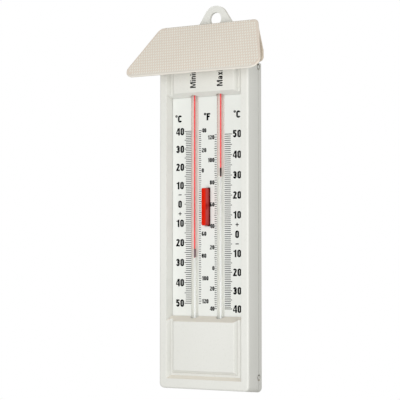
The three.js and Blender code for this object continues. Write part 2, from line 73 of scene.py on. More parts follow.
PANEL_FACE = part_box("front_housing")[0].y / MM
PLATE_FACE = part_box("scale_plate")[0].y / MM
TUBE_X = (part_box("index_max")[0].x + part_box("index_max")[1].x) / 2 / MM
TUBE_RADIUS = 2.25
TUBE_BEND = 27
TUBE_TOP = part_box("capillary_tube")[1].z / MM + HANG_HEIGHT
# The thick glass makes the threads and markers look wider than the bore that holds them.
THREAD_RADIUS = 0.43
THREAD_BESIDE_MARKER = 0.3
MIN_THREAD_SHIFT = -0.2
MARKER_SWELL = 0.12
MIN_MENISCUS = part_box("index_min")[0].z / MM + HANG_HEIGHT - 0.3
MAX_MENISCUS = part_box("index_max")[0].z / MM + HANG_HEIGHT - 0.3

# The rain hood: one sheet folded over the ridge, from the eave to the leg's foot in the case's pockets.
SHEET = 1.2
SHEET_EDGE = 0.5
RIDGE = {"depth": -10.2, "height": 221.6, "half": 33.5, "radius": 1.7, "corner": 4}
EAVE = {"depth": -34.9, "height": 189.3, "half": 47.8, "corner": 6}
LEG = {"depth": -0.9, "ease": 0.35, "bend": 204, "bottom": 197.4, "half": 32.6, "corner": 3}
NOTCH = {"half": 12.6, "top": 207.4}
DOT = {
    "across": 1.667, "row": 2.3, "half_width": 0.5, "half_length": 0.98, "height": 0.04,
    "margin": 1.5, "side": 0.6,
}

# The degree scales: the plate heights between which they run, and how much longer the warm degrees are.
SCALE = {"low": 49.6, "high": 156.8, "span": 104.2, "coldest": -40, "hottest": 50, "bow": 0.08}
# Where a scale's ticks start beside its tube, and where its numerals stand.
CELSIUS = {-1: {"ticks": 11.1, "numerals": -19.3}, 1: {"ticks": 11.55, "numerals": 19.95}}
FAHRENHEIT = {-1: {"ticks": 6.1, "numerals": -4.15}, 1: {"ticks": 6.1, "numerals": 4.55}}
CELSIUS_TALL = 4.5
FAHRENHEIT_TALL = 2.6
TICK = 0.42
INK_DEPTH = 0.02

# The lamps' size and the floor's, in metres.
LAMP_SIZE = 0.4
FLOOR_HALF = 3.0
FLOOR_DROP = 0.75


def point(x, y, height):
    """A point in the row frame, from millimetres and a height above the case's bottom edge."""
    return Vector((x, y, height - HANG_HEIGHT)) * MM


# ---------------------------------------------------------------- materials
class Shader:
    """A Principled material with short calls for the nodes behind it."""

    def __init__(self, name, **sockets):
        self.material = bpy.data.materials.new(name)
        self.material.use_nodes = True
        self.tree = self.material.node_tree
        self.bsdf = self.tree.nodes["Principled BSDF"]
        own = self.add("ShaderNodeTexCoord").outputs
        self.place, self.facing = own["Object"], own["Normal"]
        for socket, value in sockets.items():
            self.set(socket, value)

    def add(self, kind, inputs=None, **settings):
        node = self.tree.nodes.new(kind)
        for key, value in settings.items():
            setattr(node, key, value)
        for key, value in (inputs or {}).items():
            self.feed(node.inputs[key], value)
        return node

    def feed(self, socket, value):
        if isinstance(value, bpy.types.NodeSocket):
            self.tree.links.new(value, socket)
        else:
            socket.default_value = value

    def set(self, socket, value):
        self.feed(self.bsdf.inputs[socket.replace("_", " ")], value)

    def stretched(self, scale):
        return self.add("ShaderNodeMapping", {"Vector": self.place, "Scale": scale}).outputs[0]

    def axes(self):
        """The object coordinates, one by one."""
        return self.add("ShaderNodeSeparateXYZ", {"Vector": self.place}).outputs

    def noise(self, scale, detail=3.0, vector=None):
        inputs = {"Vector": vector or self.place, "Scale": scale, "Detail": detail}
        return self.add("ShaderNodeTexNoise", inputs).outputs["Fac"]

    def cells(self, scale):
        return self.add("ShaderNodeTexVoronoi", {"Vector": self.place, "Scale": scale}).outputs["Distance"]

    def between(self, factor, low, high, start=0.3, end=0.7):
        """A factor stretched from start..end to low..high."""
        return self.add("ShaderNodeMapRange", {
            "Value": factor, "From Min": start, "From Max": end, "To Min": low, "To Max": high,
        }).outputs[0]

    def blend(self, factor, a, b, how="MIX"):
        node = self.add("ShaderNodeMix", data_type="RGBA", blend_type=how)
        self.feed(node.inputs[0], factor)
        self.feed(node.inputs[6], a)
        self.feed(node.inputs[7], b)
        return node.outputs[2]

    def mottled(self, scale, light, dark, detail=3.0):
        """A tone that wanders between two colours."""
        return self.blend(self.between(self.noise(scale, detail), 0.0, 1.0), light, dark)

    def sum(self, a, b, weight):
        """a plus weight times b."""
        return self.add("ShaderNodeMath", {0: b, 1: weight, 2: a}, operation="MULTIPLY_ADD").outputs[0]

    def bump(self, height, distance):
        node = self.add("ShaderNodeBump", {"Height": height, "Distance": distance, "Strength": 1.0})
        self.set("Normal", node.outputs[0])


def srgb(red, green, blue):
    """A linear colour from the 0..255 values that a colour picker shows."""
    def linear(value):
        share = value / 255
        return share / 12.92 if share <= 0.04045 else ((share + 0.055) / 1.055) ** 2.4
    return (linear(red), linear(green), linear(blue), 1.0)


def moulded(name, light, dark, roughness=(0.34, 0.46), grain=0.02, grain_scale=1500, dust=0.25, crease_shade=0.42):
    """Injection-moulded plastic: faint flow mottling, a fine spark-eroded grain and a little dust. Painted
    shade makes it darker in its creases, towards the wall and near its foot, and a painted warm reflection
    tints it where it faces up."""
    s = Shader(name, IOR=1.47, Specular_IOR_Level=0.3)
    flow = s.noise(22, 4, s.stretched((1.0, 1.0, 0.35)))
    tone = s.blend(s.between(flow, 0.0, 1.0), light, dark)
    dusty = s.between(s.noise(900, 2), 0.0, dust, 0.55, 0.8)
    tone = s.blend(dusty, tone, dark, "MULTIPLY")
    _, depth, up = s.axes()
    # Painted shade: darker over the lowest 100 mm, towards the case's bottom edge.
    foot = s.between(up, 0.12, 0.0, BOTTOM, BOTTOM + 100 * MM)
    tone = s.blend(foot, tone, srgb(180, 177, 170))
    # Painted shade: the case darkens towards the wall, below the case top.
    towards_wall = s.between(depth, 0.0, 0.15, (PANEL_FACE + 1.5) * MM, 0.0)
    case_top = BOTTOM + CASE_TOP * MM
    on_case = s.between(up, 1.0, 0.0, case_top, case_top + MM)
    painted_wall_shade = s.add("ShaderNodeMath", {0: towards_wall, 1: on_case}, operation="MULTIPLY").outputs[0]
    tone = s.blend(painted_wall_shade, tone, srgb(120, 124, 118))
    # Painted shade: darker in creases and recesses found by ambient occlusion.
    open_air = s.add("ShaderNodeAmbientOcclusion", {"Distance": 3 * MM}, samples=8).outputs["AO"]
    tone = s.blend(s.between(open_air, crease_shade, 0.0, 0.25, 0.85), tone, srgb(150, 144, 132))
    # Painted warm reflection: faces that look up take a warmer, slightly darker tone.
    facing_up = s.add("ShaderNodeSeparateXYZ", {"Vector": s.facing}).outputs["Z"]
    s.set("Base Color", s.blend(s.between(facing_up, 0.0, 0.7, 0.2, 0.8), tone, srgb(230, 223, 210)))
    s.set("Roughness", s.between(s.noise(140, 5), *roughness))
    s.bump(s.sum(s.noise(grain_scale, 2), s.noise(70, 2), 2.5), grain * MM)
    return s.material


def white_plastic():
    return moulded("white_plastic", srgb(236, 237, 233), srgb(230, 231, 226))


def plate_plastic():
    light, dark = srgb(242, 244, 241), srgb(237, 240, 236)
    return moulded("plate_plastic", light, dark, (0.4, 0.5), 0.008, 2200, 0.12, 0.02)


def hood_plastic(name, light, dark, rim):
    """Cream moulded sheet with a fine grain, with a painted highlight along the smooth rim of the eave
    and painted light on the back leg.
    """
    s = Shader(name, IOR=1.47, Specular_IOR_Level=0.35, Emission_Strength=0.06)
    flow = s.noise(30, 4, s.stretched((1.0, 0.5, 0.5)))
    tone = s.blend(s.between(flow, 0.0, 1.0), light, dark)
    _, depth, up = s.axes()
    eave = (EAVE["height"] - HANG_HEIGHT) * MM
    # Painted light on the back leg: it glows a little and takes a warmer tone.
    through = s.between(depth, 0.0, 1.0, -8 * MM, -3 * MM)
    s.set("Emission Color", s.blend(through, (0, 0, 0, 1), srgb(236, 222, 204)))
    tone = s.blend(through, tone, srgb(226, 214, 198))
    # Painted highlight along the eave's rim.
    tone = s.blend(s.between(up, 1.0, 0.0, eave + 0.8 * MM, eave + 1.8 * MM), tone, rim)
    s.set("Base Color", tone)
    s.set("Roughness", s.between(s.noise(260, 5), 0.5, 0.66))
    s.bump(s.sum(s.noise(2600, 3), s.cells(1500), 0.3), 0.004 * MM)
    return s.material


def button_plastic():
    """Bright red on the pressed face; painted shade dulls the sides, with a painted contact shadow near the
    slot, and a darker spot on each side.
    """
    s = Shader("button_plastic", IOR=1.45, Specular_IOR_Level=0.12)
    low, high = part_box("reset_button")
    _, depth, _ = s.axes()
    face = s.mottled(120, srgb(226, 36, 0), srgb(212, 24, 0))
    # Painted shade: the sides get a duller red than the pressed face.
    flank = s.mottled(120, srgb(204, 66, 64), srgb(192, 58, 56))
    # Painted contact shadow on the sides near the slot.
    slot_shadow = s.between(depth, 0.0, 1.0, (PLATE_FACE - 2.3) * MM, (PLATE_FACE - 0.5) * MM)
    sides = s.blend(slot_shadow, flank, srgb(104, 2, 2))
    # A darker spot at the middle of each side.
    spot_centre = (0, -(PLATE_FACE - 3.9) * MM, -(low.z + high.z) / 2)
    offset = s.add("ShaderNodeMapping", {"Vector": s.place, "Location": spot_centre})
    spot = s.add("ShaderNodeVectorMath", {0: offset.outputs[0], 1: (0, 1, 0.8)}, operation="MULTIPLY")
    reach = s.add("ShaderNodeVectorMath", {0: spot.outputs[0]}, operation="LENGTH")
    side_spot = s.between(reach.outputs["Value"], 1.0, 0.0, 1.0 * MM, 2.0 * MM)
    sides = s.blend(side_spot, sides, srgb(178, 30, 26))
    # Painted shade: all but the pressed face take the side colours.
    turned_away = s.between(depth, 0.0, 1.0, low.y + 0.25 * MM, low.y + 0.7 * MM)
    s.set("Base Color", s.blend(turned_away, face, sides))
    s.set("Roughness", s.between(s.noise(500, 4), 0.26, 0.4))
    s.bump(s.sum(s.noise(1800, 2), s.noise(160, 2), 2.0), 0.008 * MM)
    return s.material


def carrier_plastic():
    return moulded("carrier_plastic", srgb(150, 153, 157), srgb(136, 139, 143), (0.42, 0.58), 0.03, 1200, 0.4)


def magnet_rubber():
    s = Shader("magnet_rubber", IOR=1.5)
    s.set("Base Color", s.mottled(900, srgb(46, 44, 42), srgb(62, 60, 58), 4))
    s.set("Roughness", s.between(s.noise(400, 4), 0.62, 0.85))
    s.bump(s.noise(1600, 4), 0.05 * MM)
    return s.material


def adhesive():
    s = Shader("adhesive", IOR=1.5, Transmission_Weight=0.35)
    s.set("Base Color", s.mottled(700, srgb(238, 222, 150), srgb(222, 196, 110)))
    s.set("Roughness", s.between(s.noise(600, 2), 0.12, 0.3))
    s.bump(s.noise(900, 2), 0.06 * MM)
    return s.material


def steel(name, light, dark, roughness):
    s = Shader(name, Metallic=1.0)
    s.set("Base Color", s.mottled(1200, light, dark))
    s.set("Roughness", s.between(s.noise(2400, 3), *roughness))
    s.bump(s.noise(3000, 3), 0.01 * MM)
    return s.material


def marker_steel(name, light, dark):
    s = Shader(name, IOR=1.5, Metallic=0.3)
    s.set("Base Color", s.mottled(1500, light, dark))
    s.set("Roughness", s.between(s.noise(1800, 2), 0.25, 0.4))
    return s.material


def tube_glass():
    """Clear glass seen against its white groove: tinted rosy beside a thread of spirit as painted red light,
    pale where the tube holds clear fluid, with faint drawing lines and glossy outer surfaces. It lets the
    lamps through."""
    s = Shader("tube_glass", IOR=1.05, Transmission_Weight=1.0, Roughness=0.02, Coat_Weight=0.15,
               Coat_Roughness=0.12, Coat_IOR=1.5)
    across, _, up = s.axes()
    beside_spirit = [
        s.between(up, 0.0, 1.0, BOTTOM + meniscus * MM, BOTTOM + (meniscus + 1) * MM)
        for meniscus in (MIN_MENISCUS, MAX_MENISCUS)]
    filled = s.blend(s.between(across, 0.0, 1.0, -MM, MM), *beside_spirit)
    lines = s.noise(900, 2, s.stretched((1.0, 1.0, 0.02)))
    pale = s.blend(s.between(lines, 0.0, 1.0), (0.995, 0.99, 0.975, 1.0), (0.98, 0.975, 0.96, 1.0))
    # Painted light: the rosy tint beside the spirit threads stands for their red light in the glass.
    rosy = s.blend(s.between(lines, 0.0, 1.0), (0.995, 0.935, 0.915, 1.0), (0.985, 0.925, 0.905, 1.0))
    s.set("Base Color", s.blend(filled, pale, rosy))
    clear = s.add("ShaderNodeBsdfTransparent", {"Color": (0.99, 0.985, 0.98, 1.0)})
    path = s.add("ShaderNodeLightPath")
    surface = s.bsdf.outputs[0]
    for ray in ("Is Diffuse Ray", "Is Shadow Ray"):
        mixed = s.add("ShaderNodeMixShader", {0: path.outputs[ray], 1: surface, 2: clear.outputs[0]})
        surface = mixed.outputs[0]
    s.feed(s.tree.nodes["Material Output"].inputs["Surface"], surface)
    return s.material


def red_spirit():
    # Painted light: the spirit glows a little, so its thread stays bright behind the glass.
    s = Shader("red_spirit", IOR=1.36, Specular_IOR_Level=0.3,
               Emission_Color=srgb(255, 70, 72), Emission_Strength=0.06)
    s.set("Base Color", s.mottled(500, srgb(250, 96, 98), srgb(246, 86, 90), 2))
    s.set("Roughness", s.between(s.noise(700, 2), 0.2, 0.35))
    return s.material


def clear_fluid():
    # Painted light: the clear fluid glows a little, for its bright white core behind the glass.
    s = Shader("clear_fluid", IOR=1.4, Specular_IOR_Level=0.1,
               Emission_Color=srgb(250, 252, 252), Emission_Strength=0.12)
    s.set("Base Color", s.mottled(500, srgb(248, 251, 252), srgb(240, 244, 245), 2))
    s.set("Roughness", s.between(s.noise(700, 2), 0.35, 0.45))
    return s.material


def ink(name, colour):
    """Screen-printed ink, a little patchy at its edges."""
    s = Shader(name, IOR=1.45, Specular_IOR_Level=0.1)
    thin = tuple(min(1.0, channel * 1.6) for channel in colour)
    s.set("Base Color", s.mottled(1600, colour, thin, 4))
    s.set("Roughness", s.between(s.noise(1200, 3), 0.42, 0.6))
    return s.material


# ---------------------------------------------------------------- mesh helpers
def placed(name, data):
    """A new object in the scene."""
    thing = bpy.data.objects.new(name, data)
    bpy.context.scene.collection.objects.link(thing)
    return thing


def made(name, mesh, material, body, smooth=True):
    """Puts a finished mesh in the scene as a piece that rides on a body."""
    for face in mesh.polygons:
        face.use_smooth = smooth and len(face.vertices) <= 4
    mesh.materials.clear()
    mesh.materials.append(material)
    piece = placed(name, mesh)
    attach(piece, body)
    return piece


def mesh_from(name, vertices, faces):
    mesh = bpy.data.meshes.new(name)
    mesh.from_pydata([tuple(v) for v in vertices], [], faces)
    mesh.update()
    tidy = bmesh.new()
    tidy.from_mesh(mesh)
    bmesh.ops.recalc_face_normals(tidy, faces=tidy.faces)
    tidy.to_mesh(mesh)
    tidy.free()
    return mesh


def skin(rings):
    """The vertices and side faces of a skin over rings of equally many points."""
    count = len(rings[0])
    vertices = [v for ring in rings for v in ring]
    faces = []
    for i in range(len(rings) - 1):
        for j in range(count):
            a, b = i * count + j, i * count + (j + 1) % count
            faces.append((a, b, b + count, a + count))
    return vertices, faces


def rings_to_mesh(name, rings):
    """A skin over rings of equally many points, with a flat cap on each end."""
    vertices, faces = skin(rings)
    count = len(rings[0])
    faces.append(tuple(range(count)))
    faces.append(tuple((len(rings) - 1) * count + j for j in range(count)))
    return mesh_from(name, vertices, faces)


def turned(name, profile, x, segments=32):
    """A turned solid on the vertical axis at x in the plate's face; profile points are (radius, height)."""
    rings = []
    for radius, height in profile:
        rings.append([
            point(x + radius * math.cos(turn), PLATE_FACE + radius * math.sin(turn), height)
            for turn in (2 * math.pi * j / segments for j in range(segments))])
    return rings_to_mesh(name, rings)


def u_path(top, bend_steps):
    """Points and directions down the left limb, round the bend and up the right limb."""
    path = [((-TUBE_X, top), (0.0, -1.0))]
    for i in range(bend_steps + 1):
        turn = math.pi + math.pi * i / bend_steps
        place = (TUBE_X * math.cos(turn), TUBE_BEND + TUBE_X * math.sin(turn))
        path.append((place, (-math.sin(turn), math.cos(turn))))
    path.append(((TUBE_X, top), (0.0, 1.0)))
    return path


def bent_rod(name, radius, top, bend_steps=40, segments=32):
    """A round rod along the U, with both its ends at one height."""
    rings = []
    for (x, height), (dx, dz) in u_path(top, bend_steps):
        rings.append([
            point(x + radius * math.cos(turn) * dz, PLATE_FACE + radius * math.sin(turn),
                  height - radius * math.cos(turn) * dx)
            for turn in (2 * math.pi * j / segments for j in range(segments))])
    return rings_to_mesh(name, rings)


# ---------------------------------------------------------------- rain hood
def tangent_angle(depth, height):
    dy = abs(depth - RIDGE["depth"])
    dz = RIDGE["height"] - RIDGE["radius"] - height
    return math.atan2(dz, dy) + math.asin(RIDGE["radius"] / math.hypot(dy, dz))


FRONT_ANGLE = tangent_angle(EAVE["depth"], EAVE["height"])
BACK_ANGLE = tangent_angle(LEG["depth"], LEG["bend"])
FOLD_HALF = RIDGE["radius"] * (FRONT_ANGLE + BACK_ANGLE) / 2


def on_sheet(x, along, inward=0.0):
    """A point of the folded sheet: along is measured over its outer face from the middle of the fold,
    positive towards the eave, and inward is the depth below that face."""
    side = 1 if along >= 0 else -1
    bent = min(abs(along), FOLD_HALF)
    angle = (FRONT_ANGLE - BACK_ANGLE) / 2 + side * bent / RIDGE["radius"]
    straight = side * (abs(along) - bent)
    centre = RIDGE["height"] - RIDGE["radius"]
    depth = RIDGE["depth"] - RIDGE["radius"] * math.sin(angle) - straight * math.cos(angle)
    height = centre + RIDGE["radius"] * math.cos(angle) - straight * math.sin(angle)
    if depth > LEG["depth"] - LEG["ease"]:
        reach = max(0.0, min(1.0, height - LEG["bend"]))
        depth = LEG["depth"] - LEG["ease"] * reach * reach
        angle = -math.pi / 2 + (math.pi / 2 - BACK_ANGLE) * reach
    return point(x, depth + inward * math.sin(angle), height - inward * math.cos(angle))


def length_to(height, angle, side):
    """How far over the sheet from the middle of the fold its outer face reaches a height."""
    turn = (FRONT_ANGLE - BACK_ANGLE) / 2 + side * FOLD_HALF / RIDGE["radius"]
    foot_height = RIDGE["height"] - RIDGE["radius"] + RIDGE["radius"] * math.cos(turn)
    return FOLD_HALF + abs(foot_height - height) / math.sin(angle)


SLOPE = length_to(EAVE["height"], FRONT_ANGLE, 1)
LEG_LENGTH = length_to(LEG["bottom"], BACK_ANGLE, -1)
WIDEN = (EAVE["half"] - RIDGE["half"]) / SLOPE
NARROWEST = RIDGE["half"] - RIDGE["corner"]


def rounded_end(half, spread, radius, steps):
    """From the middle of an end round its corner to the side: (half width, distance from the end)."""
    lean = math.hypot(1, spread)
    centre = half - radius * (spread + lean)
    last = math.atan2(spread, 1)
    for i in range(steps + 1):
        turn = -math.pi / 2 + (last + math.pi / 2) * i / steps
        yield centre + radius * math.cos(turn), radius * (1 + math.sin(turn))


def near_ridge(half, spread, steps):
    """From the fold out along a panel's rounded top corner: (half width, distance from the fold)."""
    radius = half - NARROWEST
    for i in range(steps + 1):
        turn = math.pi / 2 * i / steps
        away = radius * (1 - math.cos(turn))
        yield NARROWEST + radius * math.sin(turn) + spread * away, away


def sheet_outline():
    """Half of the unfolded sheet's outline, from the eave over the fold to the leg's foot:
    (half width, along), with along positive towards the eave."""
    eave = [(half, SLOPE - up) for half, up in rounded_end(EAVE["half"], WIDEN, EAVE["corner"], 12)]
    front = [(half, away) for half, away in near_ridge(RIDGE["half"], WIDEN, 12)][::-1]
    back = [(half, -away) for half, away in near_ridge(LEG["half"], 0, 12)][1:]
    foot = [(half, up - LEG_LENGTH) for half, up in rounded_end(LEG["half"], 0, LEG["corner"], 8)][::-1]
    bend = -length_to(LEG["bend"], BACK_ANGLE, -1)
    hook = [(LEG["half"], bend + 1.0 - i / 4) for i in range(5)]
    return eave + front + back + hook + foot


def inset(outline, distance):
    """The outline moved inward by a distance, square to its own direction."""
    moved = []
    for i, (half, along) in enumerate(outline):
        if half == NARROWEST:
            moved.append((half - distance, along))
            continue
        before, after = outline[max(i - 1, 0)], outline[min(i + 1, len(outline) - 1)]
        across, down = after[0] - before[0], after[1] - before[1]
        if i == 0 or i == len(outline) - 1:
            across, down = (1.0, 0.0) if i == 0 else (-1.0, 0.0)
        length = math.hypot(across, down)
        moved.append((half + down / length * distance, along - across / length * distance))
    return moved


def sheet_mesh():
    outline = sheet_outline()
    steps = 4
    arc = [math.pi / 2 * i / steps for i in range(steps + 1)]
    edge = [(SHEET_EDGE * (1 - math.sin(a)), SHEET_EDGE * (1 - math.cos(a))) for a in arc]
    profile = edge + [(distance, SHEET - inward) for distance, inward in edge[::-1]]
    rings = []
    for distance, inward in profile:
        half_ring = inset(outline, distance)
        right = [on_sheet(half, along, inward) for half, along in half_ring]
        left = [on_sheet(-half, along, inward) for half, along in half_ring]
        rings.append(right + left[::-1])
    vertices, faces = skin(rings)
    count = len(rings[0])
    rows = len(outline)
    for first in (0, (len(rings) - 1) * count):
        for j in range(rows - 1):
            faces.append((first + j, first + j + 1, first + count - 2 - j, first + count - 1 - j))
    return mesh_from("rain_hood_sheet", vertices, faces)


def half_width_at(along):
    """The sheet's half width at a distance from the fold, without its rounded corners."""
    return RIDGE["half"] + WIDEN * along if along >= 0 else LEG["half"]


def dot_mesh():
    """Rows of raised oval dots, each row shifted by half a pitch, moulded over the sheet's outer face."""
    vertices, faces = [], []
    sides = 10
    levels = [(0.55, 0.8), (0.88, 0.35), (1.0, -0.4)]
    row = 0
    along = SLOPE - DOT["margin"] - DOT["half_length"]
    last = -length_to(LEG["bend"] + 4, BACK_ANGLE, -1)
    notch_start = -length_to(NOTCH["top"] + 1, BACK_ANGLE, -1)
    while along > last:
        limit = half_width_at(along) - DOT["side"] - DOT["half_width"]
        column = int(limit / DOT["across"]) + 1
        for k in range(-column, column + 1):
            x = (k + (row % 2) / 2) * DOT["across"]
            in_notch = abs(x) < NOTCH["half"] + 1 and along < notch_start
            if abs(x) > limit or near_corner(abs(x), along) or in_notch:
                continue
            first = len(vertices)
            vertices.append(on_sheet(x, along, -DOT["height"]))
            for spread, rise in levels:
                for j in range(sides):
                    turn = 2 * math.pi * j / sides
                    vertices.append(on_sheet(
                        x + spread * DOT["half_width"] * math.cos(turn),
                        along + spread * DOT["half_length"] * math.sin(turn),
                        -rise * DOT["height"]))
            for j in range(sides):
                n = (j + 1) % sides
                faces.append((first, first + 1 + j, first + 1 + n))
                for level in range(len(levels) - 1):
                    a = first + 1 + level * sides
                    faces.append((a + j, a + sides + j, a + sides + n, a + n))
            base = first + 1 + (len(levels) - 1) * sides
            faces.append(tuple(base + j for j in range(sides)))
        along -= DOT["row"]
        row += 1
    return mesh_from("rain_hood_dots", vertices, faces)


def near_corner(x, along):
    """Whether a dot would reach a rounded corner of the sheet."""
    keep = DOT["margin"] + DOT["half_width"]
    if along > SLOPE - EAVE["corner"]:
        reach = EAVE["corner"] - (SLOPE - along)
        side = EAVE["half"] - EAVE["corner"] * (1 + WIDEN)
        return x > side and math.hypot(x - side, reach) > EAVE["corner"] - keep
    corner = RIDGE["corner"] if along >= 0 else LEG["half"] - NARROWEST
    if abs(along) < corner:
        return x > NARROWEST and math.hypot(x - NARROWEST, corner - abs(along)) > corner - keep
    return False


def cut_notch(sheet):
    """Cuts the slot that clears the hanging loop out of the sheet's back leg."""
    low, high = LEG["bottom"] - 3, NOTCH["top"]
    corners = [point(x, y, z) for x in (-NOTCH["half"], NOTCH["half"]) for y in (-6, 3) for z in (low, high)]
    faces = [(0, 1, 3, 2), (4, 6, 7, 5), (0, 4, 5, 1), (2, 3, 7, 6), (0, 2, 6, 4), (1, 5, 7, 3)]
    cutter = placed("notch_cutter", mesh_from("notch_cutter", corners, faces))
    cutting = sheet.modifiers.new("notch", "BOOLEAN")
    cutting.operation = "DIFFERENCE"
    cutting.solver = "EXACT"
    cutting.object = cutter
    graph = bpy.context.evaluated_depsgraph_get()
    done = bpy.data.meshes.new_from_object(sheet.evaluated_get(graph))
    sheet.modifiers.clear()
    sheet.data = done
    bpy.data.objects.remove(cutter)


def rain_hood():
    material = hood_plastic("hood_plastic", srgb(241, 230, 217), srgb(236, 225, 212), srgb(234, 230, 221))
    sheet = made("rain_hood_sheet", sheet_mesh(), material, "hood")
    cut_notch(sheet)
    for face in sheet.data.polygons:
        face.use_smooth = True
    shade = sheet.modifiers.new("weighted_normals", "WEIGHTED_NORMAL")
    shade.keep_sharp = False
    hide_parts("rain_hood")
    # The raised dots are a lighter copy of the sheet's plastic: a painted highlight on them.
    raised = hood_plastic("hood_plastic_dots", srgb(250, 249, 240), srgb(246, 245, 235), srgb(240, 239, 231))
    made("rain_hood_dots", dot_mesh(), raised, "hood")


# ---------------------------------------------------------------- glass and liquids
def glass_and_liquids():
    glass = tube_glass()
    tube = made("glass_tube", bent_rod("glass_tube", TUBE_RADIUS, TUBE_TOP), glass, "case")
    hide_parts("capillary_tube")

    red = red_spirit()
    for name, node, marker, x, bottom in [
        ("min_spirit_thread", "min_spirit_column", "index_min", MIN_THREAD_SHIFT - TUBE_X, MIN_MENISCUS),
        ("max_spirit_thread", "max_spirit_column", "index_max", TUBE_X, MAX_MENISCUS),
    ]:
        low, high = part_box(node)
        top = high.z / MM + HANG_HEIGHT
        fill = (high.x - low.x) / 2 / MM
        neck = TUBE_TOP + 1.3
        shoulder = TUBE_TOP + 3.2
        dome = [(fill * math.cos(a), top - fill * 0.6 + fill * 0.6 * math.sin(a))
                for a in (math.pi / 2 * i / 8 for i in range(8))]
        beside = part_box(marker)[1].z / MM + HANG_HEIGHT
        profile = [(THREAD_BESIDE_MARKER, bottom), (THREAD_BESIDE_MARKER, beside),
                   (THREAD_RADIUS, beside + 0.3), (THREAD_RADIUS, neck), (fill, shoulder)]
        profile += dome + [(0.02, top)]
        thread = made(name, turned(name, profile, x), red, "case")
        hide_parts(node)
    return glass


# ---------------------------------------------------------------- lettering
def arc(x, y, across, up, start, end, steps=8):
    """Points of an elliptical arc, in degrees."""
    return [(x + across * math.cos(math.radians(start + (end - start) * i / steps)),
             y + up * math.sin(math.radians(start + (end - start) * i / steps))) for i in range(steps + 1)]


def bar(x0, x1, y0, y1):
    return [[(x0, y0), (x1, y0), (x1, y1), (x0, y1)]]


def stroke(path, pen):
    """The outline of a pen line with square ends and mitred corners."""
    sides = ([], [])
    for i, (x, y) in enumerate(path):
        before, after = path[max(i - 1, 0)], path[min(i + 1, len(path) - 1)]
        first = Vector((x - before[0], y - before[1])) if i else Vector((after[0] - x, after[1] - y))
        second = Vector((after[0] - x, after[1] - y)) if i < len(path) - 1 else first
        first.normalize()
        second.normalize()
        mean = (first + second).normalized()
        reach = pen / 2 / max(0.35, mean.dot(first))
        sides[0].append((x - mean.y * reach, y + mean.x * reach))
        sides[1].append((x + mean.y * reach, y - mean.x * reach))
    return [sides[0] + sides[1][::-1]]


def loop(x0, x1, y0, y1, pen):
    """A closed ring with round ends, taller than it is wide or a circle."""
    rings = []
    for inset_by in (0, pen):
        half = (x1 - x0) / 2 - inset_by
        up = min(half, (y1 - y0) / 2 - inset_by)
        middle = (x0 + x1) / 2
        rings.append(arc(middle, y1 - inset_by - up, half, up, 0, 180) +
                     arc(middle, y0 + inset_by + up, half, up, 180, 360))
    return rings


